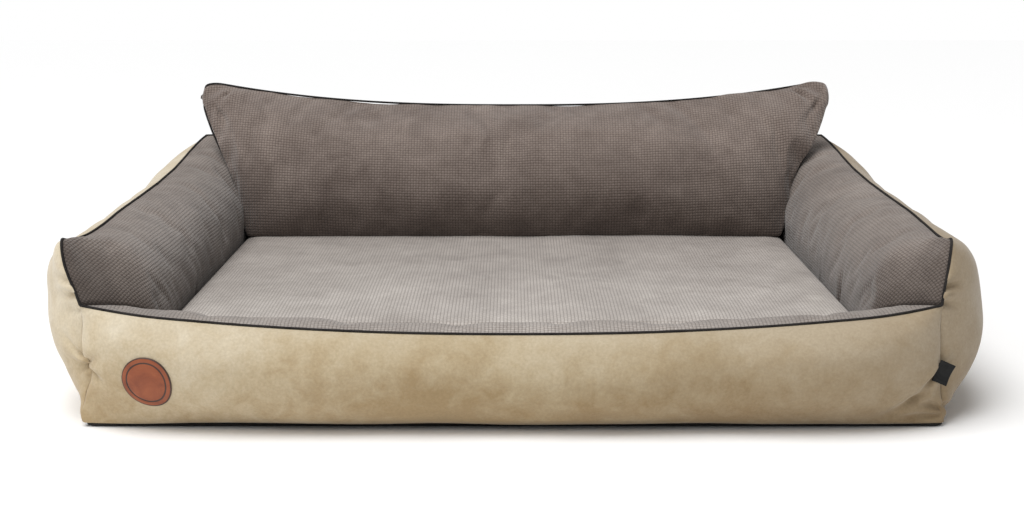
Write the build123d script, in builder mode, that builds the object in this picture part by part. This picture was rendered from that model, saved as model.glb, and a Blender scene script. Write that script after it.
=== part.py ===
"""Dog sofa bed: a padded tub on a flat base, with a loose mattress and a loose back pillow.

Millimetres, +Z up, +X to the right of someone who faces the bed, front towards -Y.
The origin is the middle of the bed, on the floor.
"""
import os
from math import cos, hypot, pi, radians, sin

from build123d import *

# Base and walls, measured on the floor
base_width = 1084.0
base_depth = 830.0
base_thickness = 5.0
base_corner_radius = 14.0
arm_wall = 90.0
front_wall = 54.0
rear_wall = 90.0
lining_thickness = 2.0

# Heights of the ridge seams, from the floor
seat_height = 122.0
front_height = 123.0
corner_height = 156.0
horn_height = 236.0
arm_height = 232.0
rear_height = 268.0

# Swell of the filled walls
arm_bulge = 62.0
end_bulge = 41.0
arm_overhang = 10.0
end_overhang = 15.0
crown_height = 8.0
seam_sink = 6.0

# Cloth, piping and the small gaps between pieces
cover_thickness = 2.0
piping_radius = 2.5
gap = 0.3

# Mattress
mattress_side_gap = 0.5
mattress_rear_gap = 4.6
mattress_corner_radius = 28.0
mattress_edge_radius = 14.0

# Back pillow
pillow_bottom_half = 440.0
pillow_top_half = 535.0
pillow_foot_y = 236.0
pillow_zip_recess = 6.5
pillow_head_y = 352.0
pillow_head_height = 328.0
pillow_tip_rise = 46.0
pillow_tip_drop = 10.0
pillow_front_puff = 50.0
pillow_back_puff = 44.0
pillow_foot_width = 18.0

# Zips
zip_length = 720.0
zip_tape_width = 13.0
zip_tape_thickness = 0.7
zip_slit = 1.1
zip_coil_width = 2.2
zip_coil_height = 1.6
zip_stop_length = 3.0
zip_window_width = 11.0
slider_length = 12.0
slider_width = 9.4
slider_plate = 1.4
slider_lip_width = 1.1
slider_lip_height = 1.1
slider_bridge_length = 7.0
slider_bridge_width = 1.5
slider_bridge_wall = 0.7
slider_bridge_rise = 2.0
pull_length = 24.0
pull_width = 6.0
pull_thickness = 0.8
pull_bar = 1.2
pull_corner = 1.5
mattress_zip_height = 60.0
cut_reach = 60.0

# Round leather patch on the front panel, near the left corner
patch_radius = 30.0
patch_thickness = 2.2
patch_x = -451.0
patch_height = 70.0
patch_yaw = 16.0
patch_pitch = 4.0

# Folded cloth tag in the right front corner seam
tag_width = 28.0
tag_length = 20.0
tag_thickness = 1.4
tag_height = 72.0
tag_tilt = 22.0
tag_turn = 15.0
tag_stand = 0.8

# Where the ribs of a wall stand along it, from one mitred corner to the middle or the other corner
fan_run = 140.0
swell_run = 110.0
swell_power = 0.8
corner_swell_share = 0.02
end_rib_shares = (0.0, 0.03, 0.06, 0.1, 0.15, 0.21, 0.3, 0.5, 0.75, 1.0)
arm_rib_shares = (0.0, 0.036, 0.065, 0.1, 0.14, 0.19, 0.3, 0.45, 0.6, 0.74, 0.84, 0.9, 0.94, 0.97, 1.0)
arm_ridge_shares = (0.985, 0.966, 0.963, 0.973, 0.993, 1.0, 1.01, 1.035, 1.07, 1.1, 1.125, 1.142)

# Shape of a wall's section: the outer curve's poles, then the inner curve's
wall_curve_shares = (0.0, 0.17, 0.34, 0.5, 0.66, 0.83, 1.0)
piping_sides = 8
outer_reach_shares = (0.5, 1.4, 1.24)
outer_lift_shares = (0.24, 0.55, 0.97)
crown_reach_share = 0.28
inner_rise_share = 0.5
front_rim_power = 2.2

# Pillow: ribs from the middle to where the side seam starts, then up the side seam to the tip
pillow_curve_shares = (0.0, 0.18, 0.36, 0.54, 0.7, 0.82, 0.92, 1.0)
pillow_rib_shares = (0.0, 0.3, 0.6, 0.82, 1.0)
pillow_side_shares = (0.1, 0.2, 0.41, 0.6, 0.77, 0.91, 1.0)
pillow_climb_shares = (0.17, 0.31, 0.46, 0.57, 0.68, 0.80, 0.90)
pillow_puff_power = 4
pillow_puff_root = 0.6
pillow_rim_power = 2.5
pillow_tip_start_share = 0.94
pillow_edge_share = 0.45
pillow_tip_full = 0.993

# Its section's poles, as shares of its height and of its puff
pillow_back_lift_shares = (0.10, 0.36, 0.90)
pillow_back_reach_shares = (0.43, 1.9, 0.85)
pillow_front_lift_shares = (0.95, 0.2234, -0.064)
pillow_front_reach_shares = (0.69, 1.48, 0.33)
pillow_side_lift_share = 0.12

base_half = base_width / 2
pocket_half = base_half - arm_wall
front_base_y = -base_depth / 2
rear_base_y = base_depth / 2
front_pocket_y = front_base_y + front_wall
rear_pocket_y = rear_base_y - rear_wall
wall_foot = base_thickness
seam_height = seat_height - seam_sink
fill_inset = cover_thickness + gap
mattress_foot = base_thickness + lining_thickness + gap
mattress_half = pocket_half - mattress_side_gap
mattress_front = front_pocket_y + mattress_side_gap
mattress_rear = rear_pocket_y - mattress_rear_gap
pillow_foot_height = seat_height + gap
pillow_lean = Vector(0, pillow_head_y - pillow_foot_y, pillow_head_height - pillow_foot_height)
pillow_height = pillow_lean.length


def mixed(start, end, share):
    return start + (end - start) * share


def make_rib(pocket, foot, height, bulge, overhang):
    """A vertical section of a wall, from a point of the pocket's edge to one of the base's edge."""
    run = (foot[0] - pocket[0], foot[1] - pocket[1])
    width = hypot(*run)
    along = (run[0] / width, run[1] / width)
    rise = height - wall_foot
    ridge_out = width + overhang
    outer = [(width, wall_foot)]
    for reach, lift in zip(outer_reach_shares, outer_lift_shares):
        outer.append((width + reach * bulge, wall_foot + lift * rise))
    crown = (crown_reach_share * ridge_out, height + crown_height)
    shoulder = (0, mixed(seam_height, height, inner_rise_share))
    return {
        "plane": Plane(
            origin=(pocket[0], pocket[1], 0),
            x_dir=(along[0], along[1], 0),
            z_dir=(along[1], -along[0], 0),
        ),
        "outer": outer,
        "ridge": (ridge_out, height),
        "inner": [crown, shoulder, (0, seam_height)],
        "tail": [(0, wall_foot)],
        "cut": (1, 0),
        "shares": wall_curve_shares,
    }


def slid(pole, cut, inset, normal):
    """An end pole, moved along a cut line until it is an inset away from its own leg."""
    reach = inset / (cut[0] * normal[0] + cut[1] * normal[1])
    return (pole[0] + cut[0] * reach, pole[1] + cut[1] * reach)


def offset_poles(poles, inset, cut):
    """The same control polygon, moved to its left by inset; its ends slide along the cut's direction."""
    normals = []
    for start, end in zip(poles, poles[1:]):
        length = hypot(end[0] - start[0], end[1] - start[1])
        normals.append(((start[1] - end[1]) / length, (end[0] - start[0]) / length))
    moved = [slid(poles[0], cut, inset, normals[0])]
    for pole, before, after in zip(poles[1:], normals, normals[1:]):
        scale = inset / (1 + before[0] * after[0] + before[1] * after[1])
        moved.append((pole[0] + (before[0] + after[0]) * scale, pole[1] + (before[1] + after[1]) * scale))
    moved.append(slid(poles[-1], cut, inset, normals[-1]))
    return moved


def section_curves(rib, inset):
    """Poles of the outer curve, foot to ridge, of the inner one, ridge to seam, and the straight tail."""
    outer, inner = rib["outer"], rib["inner"]
    moved = offset_poles([*outer, rib["ridge"], *inner, *rib["tail"]], inset, rib["cut"])
    moved = [Vector(*pole) for pole in moved]
    ridge_at = len(outer)
    seam_at = ridge_at + len(inner)
    return moved[:ridge_at + 1], moved[ridge_at:seam_at + 1], moved[seam_at:]


def stepped(rib, poles):
    """Points along the curve of a control polygon, as many as the rib takes."""
    curve = Bezier(*poles)
    return [curve @ share for share in rib["shares"]]


def outer_panel_corners(rib, outside, inside):
    """Section of the outer cover between two insets: along its outer face, and back along its inner one."""
    out_curve, _, _ = section_curves(rib, outside)
    in_curve, _, _ = section_curves(rib, inside)
    return stepped(rib, out_curve), stepped(rib, in_curve)[::-1]


def inner_panel_corners(rib, outside, inside):
    """Section of the inner cover: from the ridge over the crown to the seam, and down its tail."""
    _, out_curve, out_tail = section_curves(rib, outside)
    _, in_curve, in_tail = section_curves(rib, inside)
    return stepped(rib, out_curve) + out_tail[1:], in_tail[:0:-1] + stepped(rib, in_curve)[::-1]


def fill_corners(rib, outside, _):
    """Section of the loose filling inside both covers."""
    outer, inner, tail = section_curves(rib, outside)
    return stepped(rib, outer) + stepped(rib, inner)[1:] + tail[1:], []


def directions(points):
    """The way a chain of points runs at each of them."""
    steps = [(end - start).normalized() for start, end in zip(points, points[1:])]
    return [(before + after).normalized() for before, after in zip(steps[:1] + steps, steps + steps[-1:])]


def rim_points(ribs):
    """The middle of the piping at each rib: off the ridge seam, square to the way that it runs."""
    ridges = [rib["plane"].from_local_coords(Vector(*rib["ridge"])) for rib in ribs]
    points = []
    for rib, ridge, way in zip(ribs, ridges, directions(ridges)):
        ridge_at = Vector(*rib["ridge"])
        towards = (Vector(*rib["outer"][-1]) - ridge_at).normalized()
        towards += (Vector(*rib["inner"][0]) - ridge_at).normalized()
        away = Vector(0, 1) - towards
        plane = rib["plane"]
        away = plane.x_dir * away.X + plane.y_dir * away.Y
        away -= way * away.dot(way)
        points.append(ridge + away.normalized() * (piping_radius + gap))
    return points


def tube(points, radius):
    """A cord through some points, mitred at each of them."""
    up = Vector(0, 0, 1)
    with BuildPart() as piece:
        for point, along in zip(points, directions(points)):
            with BuildSketch(Plane(point, x_dir=along.cross(up).normalized(), z_dir=along)):
                RegularPolygon(radius, piping_sides)
        loft(ruled=True)
    return piece


def flat_face(corners):
    return Face(Wire.make_polygon(corners))


def skin(start, end, forward):
    """Flat triangles from a section to the next, turned over on the way back and on the bed's right."""
    faces = []
    right = start[0].X + end[0].X > 0
    for at in range(len(start)):
        back = at == 0 or at > forward
        one, other = (at, at - 1) if back == right else (at - 1, at)
        faces.append(flat_face([start[one], end[one], end[other]]))
        faces.append(flat_face([start[one], end[other], start[other]]))
    return faces


def stretched(ribs, corners, outside=0, inside=0):
    """One piece of a wall or of the pillow, through all its ribs."""
    rings = []
    for rib in ribs:
        forward, back = corners(rib, outside, inside)
        rings.append([rib["plane"].from_local_coords(corner) for corner in forward + back])
    faces = [flat_face(rings[0]), flat_face(rings[-1])]
    for start, end in zip(rings, rings[1:]):
        faces += skin(start, end, len(forward))
    with BuildPart() as piece:
        add(Solid(Shell(faces)))
    return piece


def mirrored(piece):
    """The same piece on the other side of the bed."""
    with BuildPart() as other:
        add(mirror(piece.part, about=Plane.YZ))
    return other


def pocket_place(place, length, start_wall, end_wall):
    """Where the rib that leaves the base's edge at a place meets the pocket's edge."""
    if place < fan_run:
        return mixed(start_wall, fan_run, place / fan_run)
    if place > length - fan_run:
        return length - mixed(end_wall, fan_run, (length - place) / fan_run)
    return place


def puff(place, length):
    """How full the wall is: next to nothing at a corner seam, all of it a swell run away."""
    reach = min(1, place / swell_run, (length - place) / swell_run)
    return max(corner_swell_share, sin(reach * pi / 2) ** swell_power)


def end_wall_ribs(pocket_y, base_y, middle_height, end_height, power):
    """Ribs of the front or the rear wall, from the left corner to the right one."""
    places = [share * base_half for share in end_rib_shares]
    places += [base_width - place for place in places[-2::-1]]
    ribs = []
    for place in places:
        pocket = (pocket_place(place, base_width, arm_wall, arm_wall) - base_half, pocket_y)
        foot = (place - base_half, base_y)
        height = mixed(middle_height, end_height, abs(foot[0] / base_half) ** power)
        full = puff(place, base_width)
        ribs.append(make_rib(pocket, foot, height, full * end_bulge, full * end_overhang))
    return ribs


def arm_ribs():
    """Ribs of the right arm, from its front corner to its rear one."""
    heights = [corner_height, horn_height]
    heights += [share * arm_height for share in arm_ridge_shares]
    heights.append(rear_height)
    ribs = []
    for share, height in zip(arm_rib_shares, heights):
        place = share * base_depth
        pocket = (pocket_half, front_base_y + pocket_place(place, base_depth, front_wall, rear_wall))
        foot = (base_half, front_base_y + place)
        full = puff(place, base_depth)
        ribs.append(make_rib(pocket, foot, height, full * arm_bulge, full * arm_overhang))
    return ribs


def pillow_puff(place):
    """How full the pillow is at a distance from its middle."""
    return (1 - (place / pillow_top_half) ** pillow_puff_power) ** pillow_puff_root


def pillow_rib(place, climb):
    """A section of the pillow across its width, leaning back; on its side seam it starts higher up."""
    full = pillow_puff(min(abs(place), pillow_tip_full * pillow_top_half))
    edge = mixed(pillow_edge_share, 1, min(1, full / pillow_puff(pillow_bottom_half)))
    half_foot = edge * pillow_foot_width / 2
    side = abs(place) / pillow_top_half
    tip = max(0, side - pillow_tip_start_share) / (1 - pillow_tip_start_share)
    total = pillow_height + pillow_tip_rise * side**pillow_rim_power - pillow_tip_drop * tip**2
    height = total * (1 - climb)
    lean = pillow_lean.normalized()
    origin = Vector(place, pillow_foot_y, pillow_foot_height) + lean * total * climb
    foot = (half_foot, 0) if climb else (half_foot * lean.Z, half_foot * lean.Y)
    outer = [foot]
    for lift, reach in zip(pillow_back_lift_shares, pillow_back_reach_shares):
        outer.append((half_foot * (1 - lift) + reach * full * pillow_back_puff, lift * height))
    inner = []
    for lift, reach in zip(pillow_front_lift_shares, pillow_front_reach_shares):
        if lift < 0:
            lift = pillow_side_lift_share if climb else lift
        inner.append((-half_foot * (1 - lift) - reach * full * pillow_front_puff, lift * height))
    return {
        "plane": Plane(origin, x_dir=lean.cross(Vector(1, 0, 0)), z_dir=(1, 0, 0)),
        "outer": outer,
        "ridge": (0, height),
        "inner": [*inner, (-foot[0], -foot[1])],
        "tail": [],
        "cut": (0, 1) if climb else (-lean.Y, lean.Z),
        "shares": pillow_curve_shares,
    }


def pillow_ribs():
    """Ribs of the pillow, from its left tip to its right one."""
    half = [(share * pillow_bottom_half, 0) for share in pillow_rib_shares]
    for share, climb in zip(pillow_side_shares, pillow_climb_shares):
        half.append((mixed(pillow_bottom_half, pillow_top_half, share), climb))
    return [pillow_rib(-place, climb) for place, climb in half[:0:-1]] + [
        pillow_rib(place, climb) for place, climb in half
    ]


def pillow_seam_points(ribs):
    """The middle of the piping: up the left side seam, along the top and down the right side seam."""
    count = len(pillow_side_shares)
    feet = [rib["plane"].origin for rib in ribs]
    heads = [rib["plane"].from_local_coords(Vector(*rib["ridge"])) for rib in ribs]
    seam = feet[count::-1] + heads + feet[:-count - 2:-1]
    across = ribs[0]["plane"].x_dir
    ways = directions(seam)
    points = [point + way.cross(across) * (piping_radius + gap) for point, way in zip(seam, ways)]
    points[0] += ways[0] * piping_radius
    points[-1] -= ways[-1] * piping_radius
    return points


def mattress_block(inset):
    """The mattress's outline, moved inwards: upright round corners and a round top edge."""
    middle = (mattress_front + mattress_rear) / 2
    with BuildPart() as block:
        with BuildSketch(Plane.XY.offset(mattress_foot + inset)):
            with Locations((0, middle)):
                RectangleRounded(
                    2 * (mattress_half - inset),
                    mattress_rear - mattress_front - 2 * inset,
                    mattress_corner_radius - inset,
                )
        extrude(amount=seat_height - mattress_foot - 2 * inset)
        fillet(block.faces().sort_by(Axis.Z)[-1].edges(), mattress_edge_radius - inset)
    return block


def zip_tape(plane):
    """Two tapes with a slit between them, joined past the ends of the chain."""
    with BuildPart() as tape:
        with BuildSketch(plane.offset(-zip_tape_thickness)):
            Rectangle(zip_length + 2 * zip_stop_length, zip_tape_width)
            Rectangle(zip_length, zip_slit, mode=Mode.SUBTRACT)
        extrude(amount=zip_tape_thickness)
    return tape


def zip_chain(plane):
    """Two rows of coil along the slit, closed by a stop at each end."""
    with BuildPart() as chain:
        with BuildSketch(plane):
            Rectangle(zip_length, zip_slit + 2 * zip_coil_width)
            Rectangle(zip_length - 2 * zip_stop_length, zip_slit, mode=Mode.SUBTRACT)
        extrude(amount=zip_coil_height)
    return chain


def zip_slider(plane):
    """Two plates joined by a neck in the slit, with lips beside the coils and a bridge for the pull."""
    under = zip_tape_thickness + gap
    over = zip_coil_height + gap
    top = over + slider_plate
    with BuildPart() as slider:
        with BuildSketch(plane.offset(-under - slider_plate)):
            RectangleRounded(slider_length, slider_width, pull_corner)
        extrude(amount=slider_plate)
        with BuildSketch(plane.offset(-under)):
            Rectangle(slider_length / 2, zip_slit - 2 * gap)
        extrude(amount=under + over)
        with BuildSketch(plane.offset(over)):
            RectangleRounded(slider_length, slider_width, pull_corner)
        extrude(amount=slider_plate)
        with BuildSketch(plane.offset(over - slider_lip_height)):
            with GridLocations(0, slider_width - slider_lip_width, 1, 2):
                Rectangle(slider_length / 2, slider_lip_width)
        extrude(amount=slider_lip_height)
        with BuildSketch(plane.offset(top)):
            Rectangle(slider_bridge_length, slider_bridge_width)
        extrude(amount=slider_bridge_rise)
        with BuildSketch(plane.offset(top)):
            Rectangle(slider_bridge_length - 2 * slider_bridge_wall, slider_bridge_width)
        extrude(amount=slider_bridge_rise - slider_bridge_wall, mode=Mode.SUBTRACT)
    return slider


def zip_pull(plane):
    """A flat tab whose cross bar passes under the slider's bridge."""
    opening = slider_bridge_rise - slider_bridge_wall
    level = zip_coil_height + gap + slider_plate + (opening - pull_thickness) / 2
    window = slider_bridge_length / 2
    with BuildPart() as pull:
        with BuildSketch(plane.offset(level)):
            with Locations((pull_bar / 2 - pull_length / 2, 0)):
                RectangleRounded(pull_length, pull_width, pull_corner)
            with Locations((-pull_bar / 2 - window / 2, 0)):
                Rectangle(window, slider_bridge_width + 2 * pull_thickness, mode=Mode.SUBTRACT)
        extrude(amount=pull_thickness)
    return pull


def zip_pieces(owner, plane):
    """The four pieces of a closed zip, whose tape lies just under a plane."""
    parked = zip_length / 2 - zip_stop_length - slider_length / 2 - gap
    slider_plane = Plane(plane.from_local_coords(Vector(parked, 0, 0)), x_dir=plane.x_dir, z_dir=plane.z_dir)
    return {
        owner + "_zip_tape": zip_tape(plane),
        owner + "_zip_chain": zip_chain(plane),
        owner + "_zip_slider": zip_slider(slider_plane),
        owner + "_zip_pull": zip_pull(slider_plane),
    }


def cut_zip_groove(plane, level):
    """Room in a filling for the tape and for the slider's inner plate, as two cutters."""
    depth = zip_tape_thickness + gap
    with BuildPart() as groove:
        with BuildSketch(plane.offset(-depth)):
            Rectangle(zip_length + 2 * zip_stop_length + 2 * gap, zip_tape_width + 2 * gap)
        extrude(amount=depth + level)
        with BuildSketch(plane.offset(-depth - slider_plate - gap)):
            Rectangle(zip_length, slider_width + 2 * gap)
        extrude(amount=depth + slider_plate + gap + level)
        with BuildSketch(plane):
            Rectangle(zip_length + 2 * pull_length, zip_tape_width + 2 * gap)
        extrude(amount=level)
    return groove


pieces = {}

# Base and the lining of the pocket's floor
with BuildPart() as base_panel:
    with BuildSketch():
        RectangleRounded(base_width, base_depth, base_corner_radius)
    extrude(amount=base_thickness)
pieces["base_panel"] = base_panel

pocket_middle = (front_pocket_y + rear_pocket_y) / 2
with BuildPart() as floor_lining:
    with BuildSketch(Plane.XY.offset(base_thickness)):
        with Locations((0, pocket_middle)):
            Rectangle(2 * (pocket_half - gap), rear_pocket_y - front_pocket_y - 2 * gap)
    extrude(amount=lining_thickness)
pieces["floor_lining"] = floor_lining

# Walls of the tub
front_ribs = end_wall_ribs(front_pocket_y, front_base_y, front_height, corner_height, front_rim_power)
rear_ribs = end_wall_ribs(rear_pocket_y, rear_base_y, rear_height, rear_height, 1)
right_ribs = arm_ribs()
for side, ribs in (("front", front_ribs), ("rear", rear_ribs), ("right", right_ribs)):
    pieces[side + "_outer_panel"] = stretched(ribs, outer_panel_corners, 0, cover_thickness)
    pieces[side + "_inner_panel"] = stretched(ribs, inner_panel_corners, 0, cover_thickness)
    pieces[side + "_fill"] = stretched(ribs, fill_corners, fill_inset)

# Piping along the ridge seams; the arms' piping starts on the front's and ends on the rear's
front_rim = rim_points(front_ribs)
rear_rim = rim_points(rear_ribs)
right_rim = rim_points(right_ribs)
bite = 2 * piping_radius + gap
right_rim[0] += (right_rim[1] - right_rim[0]).normalized() * bite
right_rim[-1] += (right_rim[-2] - right_rim[-1]).normalized() * bite
for side, rim in (("front", front_rim), ("rear", rear_rim), ("right", right_rim)):
    pieces[side + "_rim_piping"] = tube(rim, piping_radius)
for kind in ("outer_panel", "inner_panel", "fill", "rim_piping"):
    pieces["left_" + kind] = mirrored(pieces["right_" + kind])

# Round patch, bent over the front panel's left end
patch_ribs = front_ribs[:len(end_rib_shares)]
patch_axis = Vector(0, -1, 0).rotate(Axis.X, patch_pitch).rotate(Axis.Z, -patch_yaw)
patch_plane = Plane((patch_x, front_base_y, patch_height), z_dir=patch_axis)
with BuildPart() as leather_patch:
    add(stretched(patch_ribs, outer_panel_corners, -gap - patch_thickness, -gap).part)
    with BuildSketch(patch_plane):
        Circle(patch_radius)
    extrude(amount=cut_reach, both=True, mode=Mode.INTERSECT)
pieces["leather_patch"] = leather_patch

# Cloth tag that stands out of the right front corner seam, its lower inner corner in the seam
tag_reach = (tag_length * cos(radians(tag_tilt)) + tag_width * sin(radians(tag_tilt))) / 2
tag_plane = Plane(
    (base_half + tag_stand, front_base_y - tag_stand, tag_height),
    x_dir=Vector(1, 0, 0).rotate(Axis.Z, tag_turn),
    z_dir=Vector(0, -1, 0).rotate(Axis.Z, tag_turn),
)
with BuildPart() as side_tag:
    with BuildSketch(tag_plane):
        with Locations((tag_reach, 0)):
            Rectangle(tag_length, tag_width, rotation=-tag_tilt)
    extrude(amount=tag_thickness)
pieces["side_tag"] = side_tag

# Mattress: foam in a cover of bottom, side band and top panel, with a zip in the rear of the band
band_foot = mattress_foot + cover_thickness
band_top = seat_height - mattress_edge_radius
mattress_zip = Plane(
    (0, mattress_rear - cover_thickness, mattress_zip_height), x_dir=(1, 0, 0), z_dir=(0, 1, 0)
)
with BuildPart() as mattress_core:
    add(mattress_block(fill_inset).part)
    add(cut_zip_groove(mattress_zip, zip_coil_height).part, mode=Mode.SUBTRACT)
with BuildPart() as mattress_cover:
    add(mattress_block(0).part)
    add(mattress_block(cover_thickness).part, mode=Mode.SUBTRACT)
    with BuildSketch(mattress_zip.offset(-zip_tape_thickness)):
        Rectangle(zip_length, zip_window_width)
    extrude(amount=cut_reach, mode=Mode.SUBTRACT)
with BuildPart() as mattress_top_panel:
    add(mattress_cover.part)
    split(bisect_by=Plane.XY.offset(band_top), keep=Keep.TOP)
with BuildPart() as mattress_side_band:
    add(mattress_cover.part)
    split(bisect_by=Plane.XY.offset(band_top), keep=Keep.BOTTOM)
    split(bisect_by=Plane.XY.offset(band_foot), keep=Keep.TOP)
with BuildPart() as mattress_bottom_panel:
    add(mattress_cover.part)
    split(bisect_by=Plane.XY.offset(band_foot), keep=Keep.BOTTOM)
pieces["mattress_core"] = mattress_core
pieces["mattress_top_panel"] = mattress_top_panel
pieces["mattress_side_band"] = mattress_side_band
pieces["mattress_bottom_panel"] = mattress_bottom_panel
pieces.update(zip_pieces("mattress", mattress_zip))

# Back pillow: two panels over a filling, piping in the side and top seams, a zip along the bottom
ribs = pillow_ribs()
pillow_zip = Plane(
    (0, pillow_foot_y, pillow_foot_height + pillow_zip_recess), x_dir=(1, 0, 0), z_dir=(0, 0, -1)
)
with BuildPart() as pillow_fill:
    add(stretched(ribs, fill_corners, fill_inset).part)
    add(cut_zip_groove(pillow_zip, pillow_zip_recess + gap).part, mode=Mode.SUBTRACT)
pieces["pillow_fill"] = pillow_fill
pieces["pillow_back_panel"] = stretched(ribs, outer_panel_corners, 0, cover_thickness)
pieces["pillow_front_panel"] = stretched(ribs, inner_panel_corners, 0, cover_thickness)
pieces["pillow_piping"] = tube(pillow_seam_points(ribs), piping_radius)
pieces.update(zip_pieces("pillow", pillow_zip))

os.makedirs("parts", exist_ok=True)
for name, piece in pieces.items():
    piece.part.label = name
    export_step(piece.part, f"parts/{name}.step")
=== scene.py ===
"""Looks of a dog sofa bed: filled walls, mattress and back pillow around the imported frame.

Metres, +Z up, +X to the right of someone who faces the bed, front towards -Y.
"""
from math import pi, radians

import bmesh
import bpy
import numpy as np
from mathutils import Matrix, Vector
from mathutils.bvhtree import BVHTree


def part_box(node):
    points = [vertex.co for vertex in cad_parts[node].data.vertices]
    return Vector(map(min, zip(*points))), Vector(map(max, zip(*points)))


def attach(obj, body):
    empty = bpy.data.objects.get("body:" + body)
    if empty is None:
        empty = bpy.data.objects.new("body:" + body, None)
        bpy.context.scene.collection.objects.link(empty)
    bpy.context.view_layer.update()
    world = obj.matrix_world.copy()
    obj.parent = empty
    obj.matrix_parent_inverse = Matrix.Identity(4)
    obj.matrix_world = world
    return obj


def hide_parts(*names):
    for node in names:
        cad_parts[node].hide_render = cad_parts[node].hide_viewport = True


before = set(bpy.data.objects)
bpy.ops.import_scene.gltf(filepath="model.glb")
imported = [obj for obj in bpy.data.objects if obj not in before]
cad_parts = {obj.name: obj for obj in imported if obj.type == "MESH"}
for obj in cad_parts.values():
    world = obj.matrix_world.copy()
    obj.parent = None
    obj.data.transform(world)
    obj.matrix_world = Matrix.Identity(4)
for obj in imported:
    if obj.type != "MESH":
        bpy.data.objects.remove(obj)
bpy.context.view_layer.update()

# Sizes that come from the frame, and the clearance that the solids keep from each other
base_low, base_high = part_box("base_panel")
pocket_low, pocket_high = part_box("floor_lining")
gap = 0.0003
base_half = base_high.x
base_depth = base_high.y - base_low.y
wall_foot = base_high.z
pocket_half = pocket_high.x + gap
front_pocket_y = pocket_low.y - gap
rear_pocket_y = pocket_high.y + gap
arm_wall = base_half - pocket_half
front_wall = front_pocket_y - base_low.y
rear_wall = base_high.y - rear_pocket_y
corner_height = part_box("front_outer_panel")[1].z
rear_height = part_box("rear_outer_panel")[1].z
seat_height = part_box("mattress_top_panel")[1].z

# Heights and swell of the walls
front_height = 0.123
horn_height = 0.236
arm_height = 0.232
arm_bulge = 0.062
end_bulge = 0.041
arm_overhang = 0.01
end_overhang = 0.015
crown_height = 0.008
seam_height = seat_height - 0.006
fan_run = 0.14
swell_run = 0.11
swell_power = 0.8
front_rim_power = 2.2
arm_rib_shares = (0.0, 0.036, 0.065, 0.1, 0.14, 0.19, 0.3, 0.45, 0.6, 0.74, 0.84, 0.9, 0.94, 0.97, 1.0)
arm_ridge_shares = (0.985, 0.966, 0.963, 0.973, 0.993, 1.0, 1.01, 1.035, 1.07, 1.1, 1.125, 1.142)
outer_reach_shares = (1.1, 1.45, 1.2)
right_reach_shares = (1.8, 1.00, 1.38)
left_reach_shares = (1.15, 1.15, 1.32)
outer_lift_shares = (0.22, 0.58, 1.05)
crest_height = 0.03
crest_place = 0.045
crest_run = 0.026
crown_reach_share = 0.28
inner_rise_share = 0.5
crown_dip_share = -0.6
corner_swell_share = 0.02
crest_start = 0.02
own_reach_end = 0.25
common_reach_start = 0.75
wall_curve_steps = (34, 26, 10)
under_columns = 10

# Back pillow
pillow_bottom_half = 0.4465
pillow_top_half = 0.535
pillow_foot_y = 0.236
pillow_foot_height = seat_height + gap
pillow_head_y = 0.352
pillow_head_height = 0.328
pillow_tip_rise = 0.046
pillow_tip_drop = 0.01
pillow_front_puff = 0.05
pillow_back_puff = 0.044
pillow_foot_width = 0.018
pillow_side_shares = (0.0, 0.1, 0.2, 0.41, 0.6, 0.77, 0.91, 1.0)
pillow_climb_shares = (0.0, 0.17, 0.31, 0.46, 0.57, 0.68, 0.8, 0.9)
pillow_puff_power = 4
pillow_puff_root = 0.6
pillow_rim_power = 2.5
pillow_tip_start_share = 0.94
pillow_edge_share = 0.45
pillow_tip_full = 0.993
pillow_back_lift_shares = (0.1, 0.36, 0.9)
pillow_back_reach_shares = (0.43, 1.9, 0.85)
pillow_front_lift_shares = (0.95, 0.2234, -0.064)
pillow_front_reach_shares = (0.69, 1.48, 0.33)
pillow_side_lift_share = 0.12
pillow_caps = ((0.93, 0.0022), (0.6, 0.0042), (0.2, 0.005))
pillow_level_share = 0.17
pillow_curve_steps = (26, 30, 3)

# How the sewn corners stand off their plan: they lean, the rim is drawn in, and the foot jogs
lean_place = 0.02
lean_run = 0.09
lean_start, lean_end = 0.4, 0.545
lean_foot = 0.12
left_lean = 0.02
right_draw = 0.01
held_swell_share = 0.9
held_swell_start, held_swell_end = 0.01, 0.045
rim_draw_run = 0.03
rim_draw_start, rim_draw_end = 0.44, 0.53
left_rim_draw, right_rim_draw = 0.008, -0.004
jog_depth, jog_width = 0.03, 0.035
left_jog, left_jog_height, left_jog_run = 0.013, 0.072, 0.02
foot_jog, foot_jog_height, foot_jog_run = 0.005, 0.016, 0.012
front_bow = 0.014
front_bow_power = 0.7
front_bow_start, front_bow_end = 0.37, 0.41
front_bow_top = 0.07
seam_sink = 0.004

# The loose hem of the walls
hem_lift = 0.0022
hem_start, hem_end = 0.05, 0.25
hem_wave_share = 0.6
hem_waves = ((0.33, 1), (0.13, 0.6))
hem_column_shares = (1, 0.6, 0.3, 0.1)

# Cloth
cloth_thickness = 0.002
grid_step = 0.009
grid_crowding = 0.35
weave_pitch = 0.0046
weave_depth = 0.0009
swell_frames = 20
cloth_settings = {
    "quality": 6, "mass": 0.3, "tension_stiffness": 18, "compression_stiffness": 18, "shear_stiffness": 6,
    "bending_stiffness": 0.6, "air_damping": 3, "use_pressure": True, "vertex_group_mass": "pins",
}
seam_pin_share = 0.4
fade_rings = 5
crease_onset = 14
crease_lead_share = 0.3
crease_fade_power = 1.5
crease_start_share = 0.6
shoulder_share = 0.45
shoulder_width = 2.2
waves_per_size = 7
wave_spread = 2.6
outer_waves = ((0.31, 0.0016), (0.12, 0.0009), (0.05, 0.0004))
inner_waves = ((0.31, 0.0016), (0.12, 0.0009), (0.05, 0.0003))

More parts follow.
